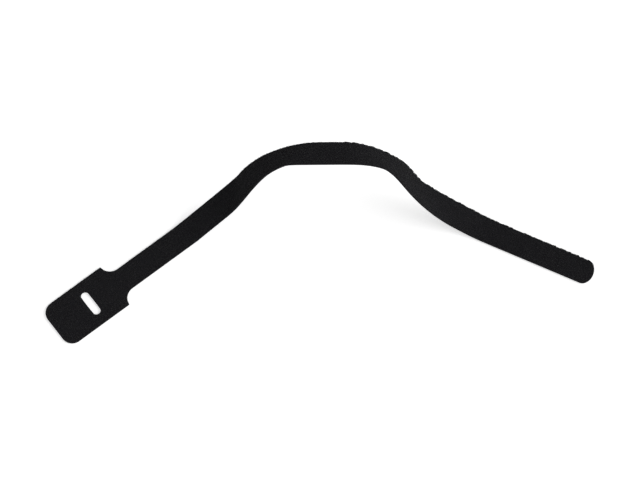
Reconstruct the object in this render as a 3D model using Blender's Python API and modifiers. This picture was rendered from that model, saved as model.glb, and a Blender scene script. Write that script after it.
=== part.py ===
"""Hook and loop cable tie: one strap of back-to-back tape, die-cut flat, then bent to stand as an arch.

The tie is cut whole from tape that has hooks on one face and loops on the other. A wide head
carries a slot for the tail to pass through, two concave shoulders narrow it to the strap, and
the tail ends round. Nothing is joined to it, so it is one solid.

It stands here as it was photographed: the head lies flat, the strap rises from it, crosses
over and comes down again, and the tail lies flat. A strap can't stretch, so every bend is a
bend about straight lines drawn across it. Where those lines lean, the strap also turns aside.

Units are metres, with +Z up. The head points along +X, and its underside is the plane z = 0.
"""

import math

import bmesh
import bpy
import numpy as np
from mathutils import Quaternion, Vector

MM = 0.001

# The flat pattern, measured along the strap from the head's end and across it.
LENGTH = 345.0 * MM
STRAP_WIDTH = 12.7 * MM
THICKNESS = 1.6 * MM
HEAD_WIDTH = 24.8 * MM
HEAD_LENGTH = 37.6 * MM  # from the end to the two shoulder points
HEAD_CORNER_RADIUS = 6.0 * MM
SHOULDER_RADIUS = 6.5 * MM
TAIL_ROUNDING = 4.8 * MM  # how far back from the tail's end its sides start to curve in
SLOT_CENTRE = 22.4 * MM
SLOT_LENGTH = 13.8 * MM  # across the head
SLOT_WIDTH = 4.3 * MM  # along the head

# How it stands. The bends in order: where the middle of each lies, how far it spreads to
# either side of there, both in mm along the strap, and how far it turns the strap up (+) or
# down (-), in degrees.
BENDS = [
    (84, 6, 27.5),
    (105, 29, 17.0),
    (119, 12, 19.0),
    (148, 31, -52.0),
    (166, 10, -16.0),
    (204, 25, -45.5),
    (222, 11, -16.0),
    (253, 30, 37.0),
    (283, 10, 21.0),
]

# The turns of these bends, counted from 0, are eased until the tail lies flat.
EASED_BENDS = [5, 7, 8]
EASING_ROUNDS = 6

# How the lines that it bends about lean, in degrees from square across, at places in mm along
# the strap: positive where a line's left end lies further along than its right end. Between
# two places the lean eases from one value to the next.
LEANS = [
    (45, 0),
    (68, -62),
    (92, -1),
    (116, 54),
    (138, -42),
    (153, -30),
    (171, 47),
    (190, -32),
    (205, -26),
    (220, 41),
    (236, 10),
    (256, -56),
    (282, 28),
    (308, -59),
    (330, 0),
]

# How finely the bent strap is divided.
ROW_PITCH = 1.5 * MM
CELLS_ACROSS_STRAP = 5
FRAME_STEP = 0.5 * MM
ARC_STEPS = 10


def arc(centre, radii, start, end):
    """Points of an ellipse's arc between two angles in degrees."""
    angles = np.radians(np.linspace(start, end, ARC_STEPS + 1))
    return [(centre[0] + radii[0] * math.cos(a), centre[1] + radii[1] * math.sin(a)) for a in angles]


def outline_of_one_side():
    """The die's edge on the +Y side, from the head's end to the tail's end."""
    half_head = HEAD_WIDTH / 2
    half_strap = STRAP_WIDTH / 2
    corner = min(HEAD_CORNER_RADIUS, half_head)
    # The shoulder's arc ends along the strap's edge and starts at the shoulder point.
    centre_y = half_strap + SHOULDER_RADIUS
    rise = centre_y - half_head
    reach = math.sqrt(max(SHOULDER_RADIUS**2 - rise**2, 0.0))
    centre = (HEAD_LENGTH + reach, centre_y)
    start = math.degrees(math.atan2(-rise, -reach)) % 360
    points = arc((corner, half_head - corner), (corner, corner), 180, 90)
    points += arc(centre, (SHOULDER_RADIUS, SHOULDER_RADIUS), start, 270)
    points += arc((LENGTH - TAIL_ROUNDING, 0), (TAIL_ROUNDING, half_strap), 90, 0)
    return points


def slot_outline():
    """A long hole with round ends, lying across the head."""
    radius = SLOT_WIDTH / 2
    straight = max(SLOT_LENGTH / 2 - radius, 0.0)
    far_end = arc((SLOT_CENTRE, straight), (radius, radius), 0, 180)
    near_end = arc((SLOT_CENTRE, -straight), (radius, radius), 180, 360)
    return far_end + near_end


def add_mesh_object(name, mesh, collection):
    made = bpy.data.objects.new(name, mesh)
    collection.objects.link(made)
    return made


def make_die(collection):
    """The cutting die: the flat pattern with its slot, as a plate much thicker than the tape."""
    side = outline_of_one_side()
    other_side = [(x, -y) for x, y in reversed(side[:-1])]
    curve = bpy.data.curves.new("die", "CURVE")
    curve.dimensions = "2D"
    curve.fill_mode = "BOTH"
    curve.extrude = 2 * THICKNESS
    for outline in (side + other_side, slot_outline()):
        spline = curve.splines.new("POLY")
        spline.points.add(len(outline) - 1)
        for point, (x, y) in zip(spline.points, outline):
            point.co = (x, y, 0.0, 1.0)
        spline.use_cyclic_u = True
    drawn = add_mesh_object("die outline", curve, collection)
    evaluated = drawn.evaluated_get(bpy.context.evaluated_depsgraph_get())
    mesh = bpy.data.meshes.new_from_object(evaluated)
    bpy.data.objects.remove(drawn)
    welded = bmesh.new()
    welded.from_mesh(mesh)
    bmesh.ops.remove_doubles(welded, verts=welded.verts, dist=1e-6)
    bmesh.ops.recalc_face_normals(welded, faces=welded.faces)
    welded.to_mesh(mesh)
    welded.free()
    die = add_mesh_object("die", mesh, collection)
    die.hide_render = True
    die.display_type = "WIRE"
    return die


def make_tape(collection):
    """A flat length of tape in cells small enough to bend, wider and longer than the die."""
    cell = STRAP_WIDTH / CELLS_ACROSS_STRAP
    cells_across = 2 * math.ceil((HEAD_WIDTH / 2 + cell) / cell)
    rows = math.ceil(LENGTH / ROW_PITCH) + 2
    bpy.ops.mesh.primitive_grid_add(x_subdivisions=rows, y_subdivisions=cells_across, size=1.0)
    tape = bpy.context.object
    tape.name = "strap"
    for owner in list(tape.users_collection):
        owner.objects.unlink(tape)
    collection.objects.link(tape)
    size = Vector((rows * ROW_PITCH, cells_across * cell, 1.0))
    for vertex in tape.data.vertices:
        along = (vertex.co.x + 0.5) * size.x - ROW_PITCH / 2
        vertex.co = (along, vertex.co.y * size.y, 0.0)
    thicken = tape.modifiers.new("thickness", "SOLIDIFY")
    thicken.thickness = THICKNESS
    thicken.offset = 0.0
    return tape


def die_cut(tape, die):
    """Cuts the tape to the die's outline and makes the result its mesh."""
    cut = tape.modifiers.new("die cut", "BOOLEAN")
    cut.operation = "INTERSECT"
    cut.solver = "EXACT"
    cut.object = die
    evaluated = tape.evaluated_get(bpy.context.evaluated_depsgraph_get())
    blank = bpy.data.meshes.new_from_object(evaluated)
    tape.modifiers.clear()
    tape.data = blank
    triangulated = bmesh.new()
    triangulated.from_mesh(blank)
    bmesh.ops.triangulate(triangulated, faces=triangulated.faces)
    triangulated.to_mesh(blank)
    triangulated.free()


def turn_per_metre(place, turns):
    """The strap's curvature: each bend is a raised cosine whose area is its turn."""
    total = np.zeros_like(place)
    for (where, spread, _), turn in zip(BENDS, turns):
        x = (place - where * MM) / (spread * MM)
        hump = np.where(np.abs(x) < 1, (1 + np.cos(math.pi * x)) / 2, 0.0)
        total += math.radians(turn) * hump / (spread * MM)
    return total


def lean_slope(place):
    """The tangent of the bending lines' lean, easing between the listed places."""
    where = np.array([w for w, _ in LEANS]) * MM
    slope = np.tan(np.radians([lean for _, lean in LEANS]))
    index = np.clip(np.searchsorted(where, place, side="right") - 1, 0, len(where) - 2)
    share = np.clip((place - where[index]) / (where[index + 1] - where[index]), 0, 1)
    eased = share**2 * (3 - 2 * share)
    return slope[index] + (slope[index + 1] - slope[index]) * eased


def strap_frames(places, slopes, turns):
    """Where the strap's middle runs, and which way it points there.

    Returns the middle's points and the directions along, up and left at each place. A bend up
    by the angle a, about a line that leans with the slope m, turns the strap by -a about
    (left + m * along).
    """
    along = Vector((1.0, 0.0, 0.0))
    up = Vector((0.0, 0.0, 1.0))
    left = up.cross(along)
    middle = Vector((0.0, 0.0, THICKNESS / 2))
    halfway = (places[:-1] + places[1:]) / 2
    steps = (turn_per_metre(halfway, turns) * FRAME_STEP).tolist()
    mean_slopes = ((slopes[:-1] + slopes[1:]) / 2).tolist()
    rows = [(middle, along, up, left)]
    for turn, slope in zip(steps, mean_slopes):
        line = left + slope * along
        half_turn = Quaternion(line, -turn * line.length / 2)
        middle = middle + (half_turn @ along) * FRAME_STEP
        along, up, left = (half_turn @ (half_turn @ v) for v in (along, up, left))
        rows.append((middle, along, up, left))
    return [np.array([row[i] for row in rows]) for i in range(4)]


def turns_that_lay_the_tail_flat(places, slopes):
    """The bends' turns in degrees, with the eased ones solved for.

    Newton's method brings three errors of the strap's end to nothing: its height over the
    head's own, and the two tilts of its upward direction.
    """
    turns = np.array([turn for _, _, turn in BENDS], float)

    def errors(tried):
        middle, _, up, _ = strap_frames(places, slopes, tried)
        return np.array([middle[-1][2] - middle[0][2], up[-1][0] * LENGTH, up[-1][1] * LENGTH])

    for _ in range(EASING_ROUNDS):
        now = errors(turns)
        nudged = [turns + np.eye(len(turns))[i] for i in EASED_BENDS]
        change = np.stack([errors(tried) - now for tried in nudged], axis=1)
        turns[EASED_BENDS] -= np.linalg.lstsq(change, now, rcond=None)[0]
    return turns


def bend(blank):
    """Moves each point of the flat blank to its place on the bent strap.

    A point at x along and y to the left lies on the bending line of the place s, where
    s + y * slope(s) = x, and moves with that line.
    """
    count = len(blank.vertices)
    flat = np.empty(count * 3)
    blank.vertices.foreach_get("co", flat)
    x, y, z = flat.reshape(-1, 3).T
    last_bend_ends = max(where + spread for where, spread, _ in BENDS) * MM
    steps = math.ceil(max(LENGTH, last_bend_ends) / FRAME_STEP) + 1
    places = np.arange(steps + 1) * FRAME_STEP
    slopes = lean_slope(places)
    turns = turns_that_lay_the_tail_flat(places, slopes)
    middle, along, up, left = strap_frames(places, slopes, turns)
    own_place = np.array([np.interp(px, places + py * slopes, places) for px, py in zip(x, y)])

    def at(table):
        return np.stack([np.interp(own_place, places, column) for column in table.T], axis=1)

    own_slope = np.interp(own_place, places, slopes)[:, None]
    line = at(left) + own_slope * at(along)
    bent = at(middle) + y[:, None] * line + z[:, None] * at(up)
    # The object's own origin lies under its middle, on the surface that it stands on.
    centre = (bent.min(axis=0) + bent.max(axis=0)) / 2
    bent -= (centre[0], centre[1], bent[:, 2].min())
    blank.vertices.foreach_set("co", bent.ravel())
    blank.update()


def tape_material():
    """Near-black nylon tape: matt, with no metal in it."""
    material = bpy.data.materials.new("nylon hook and loop tape")
    material.use_nodes = True
    shader = material.node_tree.nodes["Principled BSDF"]
    shader.inputs["Base Color"].default_value = (0.0105, 0.0103, 0.0112, 1.0)
    shader.inputs["Roughness"].default_value = 0.85
    shader.inputs["Metallic"].default_value = 0.0
    return material


for old in list(bpy.data.objects):
    bpy.data.objects.remove(old)

scene_root = bpy.context.scene.collection
parts = bpy.data.collections.new("hook and loop cable tie")
cutters = bpy.data.collections.new("cutters")
scene_root.children.link(parts)
scene_root.children.link(cutters)

strap = make_tape(parts)
die_cut(strap, make_die(cutters))
bend(strap.data)
strap.data.materials.clear()
strap.data.materials.append(tape_material())
strap.data.shade_smooth()
strap.data.set_sharp_from_angle(angle=math.radians(40))
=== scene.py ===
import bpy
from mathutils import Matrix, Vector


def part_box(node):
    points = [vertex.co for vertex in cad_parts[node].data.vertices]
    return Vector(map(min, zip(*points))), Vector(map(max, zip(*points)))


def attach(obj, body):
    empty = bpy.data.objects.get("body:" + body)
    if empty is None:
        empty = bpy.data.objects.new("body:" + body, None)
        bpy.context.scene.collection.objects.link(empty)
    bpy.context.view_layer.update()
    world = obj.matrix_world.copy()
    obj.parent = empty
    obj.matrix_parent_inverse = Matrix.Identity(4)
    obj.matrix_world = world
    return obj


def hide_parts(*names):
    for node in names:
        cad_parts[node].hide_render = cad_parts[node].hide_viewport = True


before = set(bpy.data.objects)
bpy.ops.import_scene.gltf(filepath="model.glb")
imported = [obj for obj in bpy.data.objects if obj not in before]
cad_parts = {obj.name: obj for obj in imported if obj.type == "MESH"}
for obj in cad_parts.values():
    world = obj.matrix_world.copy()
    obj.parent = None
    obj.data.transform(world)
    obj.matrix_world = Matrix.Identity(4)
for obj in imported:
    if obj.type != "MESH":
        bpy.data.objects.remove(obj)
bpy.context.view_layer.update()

import math

import bpy
import numpy as np
from mathutils import Quaternion, Vector

# The tape's backing: a thin, dense nylon cloth, coated, that carries the hooks below and the
# loops above. The whole tie is die-cut from it: head, slot, shoulders, strap and round tail.
# It is made flat, in patches, and then bent to the shape in which the tie stands.
MM = 0.001
LENGTH = 345.0 * MM
STRAP_WIDTH = 12.7 * MM
HEAD_WIDTH = 24.8 * MM
HEAD_LENGTH = 37.6 * MM
HEAD_CORNER_RADIUS = 6.0 * MM
SHOULDER_RADIUS = 6.5 * MM
TAIL_ROUNDING = 4.8 * MM
SLOT_CENTRE = 22.4 * MM
SLOT_LENGTH = 13.8 * MM
SLOT_WIDTH = 4.3 * MM
THICKNESS = 1.6 * MM
HOOK_HEIGHT = 0.36 * MM
BACKING_THICKNESS = 0.84 * MM
BACKING_LOW = HOOK_HEIGHT - THICKNESS / 2
BACKING_HIGH = BACKING_LOW + BACKING_THICKNESS
BACKING_DARK = (0.0051, 0.0049, 0.0063)
BACKING_LIGHT = (0.0080, 0.0077, 0.0098)
CLOTH_GRAIN = 0.35 * MM

# How the flat strap is bent. Each bend is its middle and its spread to either side, in mm
# along the strap, and its turn up (+) or down (-) in degrees, so that both ends lie flat. The
# lines that it bends about lean by LEANS: a place in mm, and degrees from square across.
BENDS = np.array([
    (84, 6, 27.5), (105, 29, 17.0), (119, 12, 19.0), (148, 31, -52.0), (166, 10, -16.0),
    (204, 25, -45.956), (222, 11, -16.0), (253, 30, 37.337), (283, 10, 20.662),
])
LEANS = np.array([
    (45, 0), (68, -62), (92, -1), (116, 54), (138, -42), (153, -30), (171, 47), (190, -32),
    (205, -26), (220, 41), (236, 10), (256, -56), (282, 28), (308, -59), (330, 0),
])
FRAME_STEP = 0.5 * MM

# The flat patches: points across the width, and the places where one patch ends and the next
# begins, round the slot and past the shoulders.
COLUMNS = 27
SLOT_PATCH_FROM = 13.5 * MM
SLOT_PATCH_TO = 31.5 * MM
SHOULDER_PATCH_TO = 45 * MM


def turn_per_metre(place):
    """Curvature along the strap: the sum of raised cosines, turn / spread * (1 + cos(pi * x)) / 2,
    where x runs from -1 to 1 over each bend."""
    x = (place[:, None] - BENDS[:, 0] * MM) / (BENDS[:, 1] * MM)
    hump = np.where(np.abs(x) < 1, (1 + np.cos(math.pi * x)) / 2, 0.0)
    return (np.radians(BENDS[:, 2]) * hump / (BENDS[:, 1] * MM)).sum(axis=1)


def lean_slope(place):
    """Tangent of the bending lines' lean, eased as t * t * (3 - 2 * t) between listed places."""
    where, slope = LEANS[:, 0] * MM, np.tan(np.radians(LEANS[:, 1]))
    index = np.clip(np.searchsorted(where, place, side="right") - 1, 0, len(where) - 2)
    share = np.clip((place - where[index]) / (where[index + 1] - where[index]), 0, 1)
    return slope[index] + (slope[index + 1] - slope[index]) * share**2 * (3 - 2 * share)


def walk_strap(places, slopes):
    """Middle, along, up and left at each place, step by step from the head: each step turns all
    three by the bend's own turn, about the line left + slope * along."""
    along, up, left = Vector((1, 0, 0)), Vector((0, 0, 1)), Vector((0, 1, 0))
    middle = Vector((0, 0, THICKNESS / 2))
    turns = (turn_per_metre((places[:-1] + places[1:]) / 2) * FRAME_STEP).tolist()
    rows = [(middle, along, up, left)]
    for turn, slope in zip(turns, ((slopes[:-1] + slopes[1:]) / 2).tolist()):
        line = left + slope * along
        half_turn = Quaternion(line, -turn * line.length / 2)
        middle = middle + (half_turn @ along) * FRAME_STEP
        along, up, left = (half_turn @ (half_turn @ v) for v in (along, up, left))
        rows.append((middle, along, up, left))
    return [np.array([row[i] for row in rows]) for i in range(4)]


PLACES = np.arange(math.ceil(LENGTH / FRAME_STEP) + 5) * FRAME_STEP
SLOPES = lean_slope(PLACES)
MIDDLE, ALONG, UP, LEFT = walk_strap(PLACES, SLOPES)
# Each flat point lies on the bending line of one place s, where s + y * slope(s) = x. This is
# that place, for lines of y a little beyond the head's edges and for x at every place.
ACROSS = np.linspace(-HEAD_WIDTH * 0.6, HEAD_WIDTH * 0.6, 61)
OWN_PLACE = np.array([np.interp(PLACES, PLACES + y * SLOPES, PLACES) for y in ACROSS])
low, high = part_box("strap")
HEAD_END = np.array([low.x, high.y - HEAD_WIDTH / 2, 0.0])


def bent(flat):
    """Moves flat points (x along, y left, z up) to the bent strap: from the middle at their own
    place, y along the bending line and z along up. What is before the head's end stays flat."""
    x, y, z = flat.T
    column = np.clip((y - ACROSS[0]) / (ACROSS[1] - ACROSS[0]), 0, len(ACROSS) - 1.001)
    row = np.clip(x / FRAME_STEP, 0, len(PLACES) - 1.001)
    c, r = column.astype(int), row.astype(int)
    u, v = column - c, row - r
    place = (1 - u) * ((1 - v) * OWN_PLACE[c, r] + v * OWN_PLACE[c, r + 1])
    place += u * ((1 - v) * OWN_PLACE[c + 1, r] + v * OWN_PLACE[c + 1, r + 1])

    def at(table):
        return np.stack([np.interp(place, PLACES, values) for values in table.T], axis=1)

    before = np.minimum(x, 0)[:, None] * ALONG[0]
    line = at(LEFT) + np.interp(place, PLACES, SLOPES)[:, None] * at(ALONG)
    return HEAD_END + before + at(MIDDLE) + y[:, None] * line + z[:, None] * at(UP)


def half_width(x):
    """Half the die-cut width at x: corner arc, head, shoulder arc, strap and tail ellipse."""
    head, strap = HEAD_WIDTH / 2, STRAP_WIDTH / 2
    before_side = np.clip(HEAD_CORNER_RADIUS - x, 0, HEAD_CORNER_RADIUS)
    corner = head - HEAD_CORNER_RADIUS + np.sqrt(HEAD_CORNER_RADIUS**2 - before_side**2)
    reach = math.sqrt(SHOULDER_RADIUS**2 - (strap + SHOULDER_RADIUS - head) ** 2)
    off = np.clip(HEAD_LENGTH + reach - x, 0, reach)
    shoulder = strap + SHOULDER_RADIUS - np.sqrt(SHOULDER_RADIUS**2 - off**2)
    back = np.clip((x - LENGTH + TAIL_ROUNDING) / TAIL_ROUNDING, 0, 1)
    tail = strap * np.sqrt(1 - back**2)
    return np.where(x < HEAD_LENGTH, corner, np.where(x < LENGTH - TAIL_ROUNDING, shoulder, tail))


def strip(start, end, rows, crowd="evenly"):
    """Flat patch between two places, as a grid of points and quads that face up: x in even
    steps, or crowding to one end as a sine, and y in even steps across the width."""
    t = np.linspace(0, 1, rows)
    if crowd == "to the end":
        t = np.sin(t * math.pi / 2)
    if crowd == "to the start":
        t = 1 - np.cos(t * math.pi / 2)
    x = start + (end - start) * t
    y = half_width(np.clip(x, 1e-6, LENGTH - 1e-6))[:, None] * np.linspace(-1, 1, COLUMNS)
    i, j = np.meshgrid(np.arange(rows - 1), np.arange(COLUMNS - 1), indexing="ij")
    a = (i * COLUMNS + j).ravel()
    quads = np.stack([a, a + COLUMNS, a + COLUMNS + 1, a + 1], axis=1)
    return np.stack([np.repeat(x, COLUMNS), y.ravel()], axis=1), quads


def slot_patch(start, end, sides, rings):
    """Flat patch round the slot: rings of points between its border and the slot's round-ended
    outline, each border point joined straight to one of the outline."""
    half, y = HEAD_WIDTH / 2, np.linspace(-1, 1, COLUMNS)
    x = np.linspace(start, end, sides)
    border = np.concatenate([
        np.stack([np.full(COLUMNS - 1, end), half * y[:-1]], axis=1),
        np.stack([x[:0:-1], np.full(sides - 1, half)], axis=1),
        np.stack([np.full(COLUMNS - 1, start), half * y[:0:-1]], axis=1),
        np.stack([x[:-1], np.full(sides - 1, -half)], axis=1),
    ])
    radius = SLOT_WIDTH / 2
    straight = SLOT_LENGTH / 2 - radius
    # Each border point heads for its own point of the slot's middle line, at 0.62 of its y.
    core_y = np.clip(border[:, 1] * 0.62, -straight, straight)
    core = np.stack([np.full(len(border), SLOT_CENTRE), core_y], axis=1)
    away = border - core
    inner = core + away / np.linalg.norm(away, axis=1, keepdims=True) * radius
    t = np.linspace(0, 1, rings)[:, None, None]
    points = inner + (border - inner) * t
    count = len(border)
    i, j = np.meshgrid(np.arange(rings - 1), np.arange(count), indexing="ij")
    a, b = (i * count + j).ravel(), (i * count + (j + 1) % count).ravel()
    return points.reshape(-1, 2), np.stack([a, a + count, b + count, b], axis=1)


patches = [
    strip(0.0, HEAD_CORNER_RADIUS, 14, crowd="to the start"),
    strip(HEAD_CORNER_RADIUS, SLOT_PATCH_FROM, 13),
    slot_patch(SLOT_PATCH_FROM, SLOT_PATCH_TO, sides=31, rings=14),
    strip(SLOT_PATCH_TO, HEAD_LENGTH, 11),
    strip(HEAD_LENGTH, SHOULDER_PATCH_TO, 15),
    strip(SHOULDER_PATCH_TO, LENGTH - TAIL_ROUNDING, 490),
    strip(LENGTH - TAIL_ROUNDING, LENGTH, 14, crowd="to the end"),
]


def joined(patches, merge=2e-6):
    """Puts patches together and gives points that share a place one number."""
    points = np.concatenate([p for p, _ in patches])
    starts = np.cumsum([0] + [len(p) for p, _ in patches[:-1]])
    faces = np.concatenate([f + s for (_, f), s in zip(patches, starts)])
    cells = np.round(points / merge).astype(int)
    _, first, number = np.unique(cells, axis=0, return_index=True, return_inverse=True)
    return points[first], number.reshape(-1)[faces]


def slab(points, faces, levels):
    """Flat cloth given thickness: a bottom at the first level, a top at the last, and walls
    through all the levels along every cut edge."""
    count = len(points)
    layers = [np.column_stack([points, np.full(count, z)]) for z in levels]
    edges = np.concatenate([faces[:, [i, (i + 1) % 4]] for i in range(4)])
    key = np.sort(edges, axis=1) @ np.array([count, 1])
    _, first, times = np.unique(key, return_index=True, return_counts=True)
    rim = edges[first[times == 1]]
    wall = np.column_stack([rim, rim[:, ::-1] + count])
    walls = [wall + k * count for k in range(len(levels) - 1)]
    top = faces + (len(levels) - 1) * count
    used = np.concatenate([faces[:, ::-1], top, *walls])
    keep, number = np.unique(used, return_inverse=True)
    return np.concatenate(layers)[keep], number.reshape(used.shape)


def mesh_piece(name, points, face_groups, material):
    """One piece of the tie: its mesh from points and groups of faces, its material, and the
    part of the CAD that it rides on and stands for."""
    mesh = bpy.data.meshes.new(name)
    mesh.from_pydata(points, [], [face for group in face_groups for face in group.tolist()])
    mesh.validate()
    mesh.shade_smooth()
    mesh.materials.append(material)
    piece = bpy.data.objects.new(name, mesh)
    bpy.context.scene.collection.objects.link(piece)
    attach(piece, "root")
    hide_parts("strap")
    return piece


def nylon(name, dark, light, grain, roughness, bump=0.0, sheen=0.0):
    """Black nylon: its colour wanders between two values, 0.65 of it at the grain's size and 0.35
    of it over some 14 mm, and the grain also lifts the surface, by up to 0.1 mm times bump."""
    material = bpy.data.materials.new(name)
    material.use_nodes = True
    nodes, links = material.node_tree.nodes, material.node_tree.links
    shader = nodes["Principled BSDF"]
    shader.inputs["Roughness"].default_value = roughness
    shader.inputs["Sheen Weight"].default_value = sheen
    shader.inputs["Sheen Roughness"].default_value = 0.6
    shader.inputs["Specular IOR Level"].default_value = 0.2
    place = nodes.new("ShaderNodeTexCoord")
    fine, broad = nodes.new("ShaderNodeTexNoise"), nodes.new("ShaderNodeTexNoise")
    fine.inputs["Scale"].default_value = 1 / grain
    fine.inputs["Detail"].default_value = 3.0
    broad.inputs["Scale"].default_value = 1 / (14 * MM)
    broad.inputs["Detail"].default_value = 2.0
    fine_share = nodes.new("ShaderNodeMath")
    fine_share.operation = "MULTIPLY"
    fine_share.inputs[1].default_value = 0.65
    both = nodes.new("ShaderNodeMath")
    both.operation = "MULTIPLY_ADD"
    both.inputs[1].default_value = 0.35
    colour = nodes.new("ShaderNodeMix")
    colour.data_type = "RGBA"
    colour.inputs["A"].default_value = (*dark, 1)
    colour.inputs["B"].default_value = (*light, 1)
    lift = nodes.new("ShaderNodeBump")
    lift.inputs["Strength"].default_value = bump
    lift.inputs["Distance"].default_value = 0.1 * MM
    for noise in (fine, broad):
        links.new(place.outputs["Object"], noise.inputs["Vector"])
    links.new(fine.outputs["Fac"], fine_share.inputs[0])
    links.new(broad.outputs["Fac"], both.inputs[0])
    links.new(fine_share.outputs["Value"], both.inputs[2])
    links.new(both.outputs["Value"], colour.inputs["Factor"])
    links.new(colour.outputs["Result"], shader.inputs["Base Color"])
    links.new(fine.outputs["Fac"], lift.inputs["Height"])
    links.new(lift.outputs["Normal"], shader.inputs["Normal"])
    return material


flat_points, flat_faces = joined(patches)
cloth, cloth_faces = slab(flat_points, flat_faces, np.linspace(BACKING_LOW, BACKING_HIGH, 4))
backing_material = nylon(
    "coated backing cloth", BACKING_DARK, BACKING_LIGHT, CLOTH_GRAIN, roughness=0.85, bump=1.0)
backing = mesh_piece("backing", bent(cloth), [cloth_faces], backing_material)

# The flat cut's area without the slot, for the number of loops and for the sheet below.
slot_area = SLOT_LENGTH * SLOT_WIDTH - (4 - math.pi) * (SLOT_WIDTH / 2) ** 2
cloth_area = half_width(np.linspace(0, LENGTH, 4001)).mean() * 2 * LENGTH - slot_area

# The loop side, which is uppermost here: a brushed pile of fine nylon filaments that stand up
# as small loops, leaning every way, and catch the hooks. Some lean out over the cut edges, and
# the left edge is frayed from FRAYED_FROM on. The pile is in PILE_LAYERS layers, all alike.
LOOPS_A_SQUARE_MM = 5.15
LOOP_REACHES_MM = (0.22, 0.5)
LOOP_HEIGHTS_MM = (0.26, 0.5)
LOOP_LEAN_MM = 0.35
LOOP_ROOT = 0.08 * MM
LOOP_EDGE_MARGIN = 0.05 * MM
FOOT_EDGE_MARGIN = 0.03 * MM
SPILL_SHARE = 0.09
FRAYED_SHARE = 0.13
FRAYED_FROM = 190 * MM
TUFTS = 100
TUFT_REACHES_MM = (0.2, 0.6)
TUFT_SPREAD_MM = 0.45
FILAMENT_RADIUS = 0.036 * MM
PILE_LAYERS = 4
PILE_DARK = (0.0058, 0.0056, 0.0073)
PILE_LIGHT = (0.0126, 0.0121, 0.0154)
PILE_GRAIN = 0.8 * MM


def inside(x, y, margin):
    """Whether flat points are on the cloth, at least margin from its edge and from the slot."""
    on = (x > margin) & (x < LENGTH - margin)
    on &= np.abs(y) < half_width(np.clip(x, 0, LENGTH)) - margin
    straight = SLOT_LENGTH / 2 - SLOT_WIDTH / 2
    away = np.hypot(x - SLOT_CENTRE, y - np.clip(y, -straight, straight))
    return on & (away > SLOT_WIDTH / 2 + margin)


def filament_tubes(paths, radius, sides=3):
    """Thin closed tubes round paths of points (tube, point, xyz): a ring of sides square to the
    path's run at each point, and a cap at each end."""
    run = np.gradient(paths, axis=1)
    run /= np.linalg.norm(run, axis=2, keepdims=True)
    aside = np.cross(run, np.array([0.31, 0.53, 0.79]))
    aside /= np.linalg.norm(aside, axis=2, keepdims=True)
    over = np.cross(run, aside)
    angle = np.arange(sides) * 2 * math.pi / sides
    ring = np.cos(angle)[:, None] * aside[:, :, None, :]
    ring = ring + np.sin(angle)[:, None] * over[:, :, None, :]
    points = paths[:, :, None, :] + radius * ring
    tubes, steps = paths.shape[:2]
    t, i, j = np.meshgrid(np.arange(tubes), np.arange(steps - 1), np.arange(sides), indexing="ij")
    a = ((t * steps + i) * sides + j).ravel()
    b = ((t * steps + i) * sides + (j + 1) % sides).ravel()
    quads = np.stack([a, b, b + sides, a + sides], axis=1)
    first = np.arange(tubes)[:, None] * steps * sides + np.arange(sides)
    ends = [first[:, ::-1], first + (steps - 1) * sides]
    return points.reshape(-1, 3), [quads, *ends]


def field_loops(draw, count):
    """Places all over the cloth, with every heading and a lean to either side."""
    x = draw.uniform(0, LENGTH, count * 6)
    y = draw.uniform(-HEAD_WIDTH / 2, HEAD_WIDTH / 2, count * 6)
    keep = np.flatnonzero(inside(x, y, LOOP_EDGE_MARGIN))[:count]
    heading = draw.uniform(0, 2 * math.pi, len(keep))
    return x[keep], y[keep], heading, draw.uniform(-LOOP_LEAN_MM, LOOP_LEAN_MM, len(keep)) * MM


def spilling_loops(draw, count):
    """Places just inside both cut edges, where loops that run along the edge lean out over it."""
    x = draw.uniform(0, LENGTH, count)
    side = draw.choice([-1.0, 1.0], count)
    y = side * (half_width(x) - draw.uniform(0.04, 0.2, count) * MM)
    return x, y, draw.normal(0, 0.3, count), side * draw.uniform(0.05, 0.3, count) * MM


def frayed_loops(draw, count):
    """Tufts just inside the left edge, from FRAYED_FROM to the tail, each leaning out by its
    own reach. Their places are the same in every layer."""
    tufts = np.random.default_rng(7)
    middle = tufts.uniform(FRAYED_FROM, LENGTH, TUFTS)
    reach = tufts.uniform(*TUFT_REACHES_MM, TUFTS) * MM
    pick = draw.integers(0, TUFTS, count)
    x = middle[pick] + draw.normal(0, TUFT_SPREAD_MM, count) * MM
    x = np.clip(x, 0, LENGTH - 1 * MM)
    y = half_width(x) - draw.uniform(0.04, 0.25, count) * MM
    return x, y, draw.normal(0, 0.3, count), reach[pick] * draw.uniform(0.3, 1.0, count)


def loop_paths(count, seed):
    """Half-ellipse loops, each with its own heading, reach, height and lean: reach * cos(t)
    along its heading, height * sin(t) up and lean * sin(t)^2 aside. Both feet are in the cloth."""
    draw = np.random.default_rng(seed)
    kinds = [
        field_loops(draw, count),
        spilling_loops(draw, int(count * SPILL_SHARE)),
        frayed_loops(draw, int(count * FRAYED_SHARE)),
    ]
    x, y, heading, lean = (np.concatenate(values) for values in zip(*kinds))
    reach = draw.uniform(*LOOP_REACHES_MM, len(x)) * MM
    height = draw.uniform(*LOOP_HEIGHTS_MM, len(x)) * MM
    t = np.linspace(0, math.pi, 5)
    run = np.cos(t) * reach[:, None]
    rise = np.sin(t) * height[:, None]
    aside = np.sin(t) ** 2 * lean[:, None]
    c, s = np.cos(heading)[:, None], np.sin(heading)[:, None]
    path_x = x[:, None] + run * c - aside * s
    path_y = y[:, None] + run * s + aside * c
    paths = np.stack([path_x, path_y, BACKING_HIGH - LOOP_ROOT + rise], axis=2)
    feet = paths[:, [0, -1]]
    return paths[inside(feet[..., 0], feet[..., 1], FOOT_EDGE_MARGIN).all(axis=1)]


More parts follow.
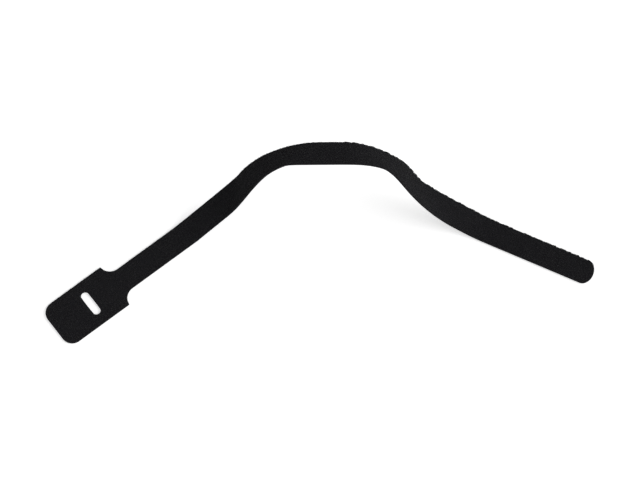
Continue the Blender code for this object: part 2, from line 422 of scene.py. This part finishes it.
pile_material = nylon(
    "brushed nylon loops", PILE_DARK, PILE_LIGHT, PILE_GRAIN, roughness=0.75, sheen=0.14)
loops_in_all = int(cloth_area / MM**2 * LOOPS_A_SQUARE_MM)
for layer in range(PILE_LAYERS):
    paths = loop_paths(loops_in_all // PILE_LAYERS, seed=11 + layer)
    points, faces = filament_tubes(paths, FILAMENT_RADIUS)
    mesh_piece(f"loop_pile_{layer + 1}", bent(points), faces, pile_material)

# The hook side, which is underneath: rows of small moulded nylon hooks on the backing, all of
# one size, each curling over along the strap, in turn forwards and back row by row.
HOOK_PITCH_ALONG = 1.15 * MM
HOOK_PITCH_ACROSS = 0.95 * MM
HOOK_WIDTH = 0.22 * MM
HOOK_EDGE_MARGIN = 0.45 * MM
HOOK_DARK = (0.005, 0.0049, 0.0054)
HOOK_LIGHT = (0.008, 0.0078, 0.0086)
HOOK_GRAIN = 2.0 * MM


def hook_profile():
    """A hook seen from its side, as its outer and its inner line from root to point, in mm from
    the backing: its stem stands out, curls over and ends in a short point."""
    outer = [(-0.26, 0.06), (-0.16, -0.14), (-0.03, -0.29), (0.14, -0.36), (0.30, -0.30),
             (0.36, -0.17)]
    inner = [(0.16, 0.06), (0.08, -0.1), (0.08, -0.19), (0.15, -0.24), (0.23, -0.22),
             (0.28, -0.14)]
    return np.array(outer) * MM, np.array(inner) * MM


def hook_field():
    """Hooks on a regular grid over the cloth, alternate rows turned about: four points round
    each station of the profile, sides between them, and a face at the point and at the root."""
    columns = np.arange(HOOK_PITCH_ALONG / 2, LENGTH, HOOK_PITCH_ALONG)
    last_row = math.floor(HEAD_WIDTH / 2 / HOOK_PITCH_ACROSS)
    rows = np.arange(-last_row, last_row + 1) * HOOK_PITCH_ACROSS
    x, y = (v.ravel() for v in np.meshgrid(columns, rows, indexing="ij"))
    turned = np.where(np.round(y / HOOK_PITCH_ACROSS).astype(int) % 2 == 0, 1.0, -1.0)
    keep = inside(x, y, HOOK_EDGE_MARGIN)
    x, y, turned = x[keep], y[keep], turned[keep]
    outer, inner = hook_profile()
    stations = []
    for (ox, oz), (ix, iz) in zip(outer, inner):
        for px, pz, side in ((ox, oz, -1), (ox, oz, 1), (ix, iz, 1), (ix, iz, -1)):
            aside = turned * side * HOOK_WIDTH / 2
            level = np.full_like(x, BACKING_LOW + pz)
            stations.append(np.stack([x + turned * px, y + aside, level], axis=1))
    points = np.stack(stations, axis=1)
    steps = len(outer)
    h, i, j = np.meshgrid(np.arange(len(x)), np.arange(steps - 1), np.arange(4), indexing="ij")
    a = ((h * steps + i) * 4 + j).ravel()
    b = ((h * steps + i) * 4 + (j + 1) % 4).ravel()
    first = np.arange(len(x))[:, None] * steps * 4 + np.arange(4)
    ends = [first + (steps - 1) * 4, first[:, ::-1]]
    return points.reshape(-1, 3), [np.stack([a, b, b + 4, a + 4], axis=1), *ends]


hook_material = nylon("moulded nylon hooks", HOOK_DARK, HOOK_LIGHT, HOOK_GRAIN, roughness=0.5)
hook_points, hook_faces = hook_field()
hooks = mesh_piece("hooks", bent(hook_points), hook_faces, hook_material)

# The surface that the tie lies on, plain and white, and the soft light from all round. The
# camera sees the floor and the room a little brighter than they light the tie.
FLOOR_SIZE = 6.0
FLOOR_GLOW = 0.5
ROOM_LIGHT = 0.4
floor_mesh = bpy.data.meshes.new("floor")
reach = FLOOR_SIZE / 2
corners = [(-reach, -reach, 0), (reach, -reach, 0), (reach, reach, 0), (-reach, reach, 0)]
floor_mesh.from_pydata(corners, [], [(0, 1, 2, 3)])
floor = bpy.data.objects.new("floor", floor_mesh)
bpy.context.scene.collection.objects.link(floor)
paper = bpy.data.materials.new("white floor")
paper.use_nodes = True
paper_nodes, paper_links = paper.node_tree.nodes, paper.node_tree.links
paper_shader = paper_nodes["Principled BSDF"]
paper_shader.inputs["Base Color"].default_value = (0.9, 0.9, 0.9, 1)
paper_shader.inputs["Roughness"].default_value = 0.9
paper_shader.inputs["Specular IOR Level"].default_value = 0.0
paper_shader.inputs["Emission Color"].default_value = (1, 1, 1, 1)
seen = paper_nodes.new("ShaderNodeLightPath")
glow = paper_nodes.new("ShaderNodeMath")
glow.operation = "MULTIPLY"
glow.inputs[1].default_value = FLOOR_GLOW
paper_links.new(seen.outputs["Is Camera Ray"], glow.inputs[0])
paper_links.new(glow.outputs["Value"], paper_shader.inputs["Emission Strength"])
floor_mesh.materials.append(paper)

world = bpy.data.worlds.new("white room")
bpy.context.scene.world = world
world.use_nodes = True
world_nodes, world_links = world.node_tree.nodes, world.node_tree.links
surround = world_nodes["Background"]
surround.inputs["Color"].default_value = (1, 1, 1, 1)
path = world_nodes.new("ShaderNodeLightPath")
seen_directly = world_nodes.new("ShaderNodeMix")
seen_directly.data_type = "FLOAT"
seen_directly.inputs["A"].default_value = ROOM_LIGHT
seen_directly.inputs["B"].default_value = 1.0
world_links.new(path.outputs["Is Camera Ray"], seen_directly.inputs["Factor"])
world_links.new(seen_directly.outputs["Result"], surround.inputs["Strength"])

window = bpy.data.lights.new("window light from the right", "SUN")
window.energy = 2.0
window.angle = 0.9
fill = bpy.data.lights.new("fill softbox", "AREA")
fill.energy = 4.0
fill.size = 1.2
for light, place in ((window, (2.06, -1.57, 1.46)), (fill, (-1.2, -0.9, 1.1))):
    lamp = bpy.data.objects.new(light.name, light)
    lamp.location = place
    lamp.rotation_euler = Vector(place).to_track_quat("Z", "Y").to_euler()
    bpy.context.scene.collection.objects.link(lamp)

# The camera looks down on the tie from well away, across the head's direction.
camera_data = bpy.data.cameras.new("camera")
camera_data.lens = 236.2
camera_data.sensor_width = 36.0
camera_data.clip_start = 0.05
camera = bpy.data.objects.new("camera", camera_data)
camera.location = (-0.37532, -0.48857, 2.04541)
camera.rotation_euler = (math.radians(17.472), 0.0, math.radians(-37.497))
bpy.context.scene.collection.objects.link(camera)
bpy.context.scene.camera = camera
bpy.context.scene.view_settings.view_transform = "Standard"
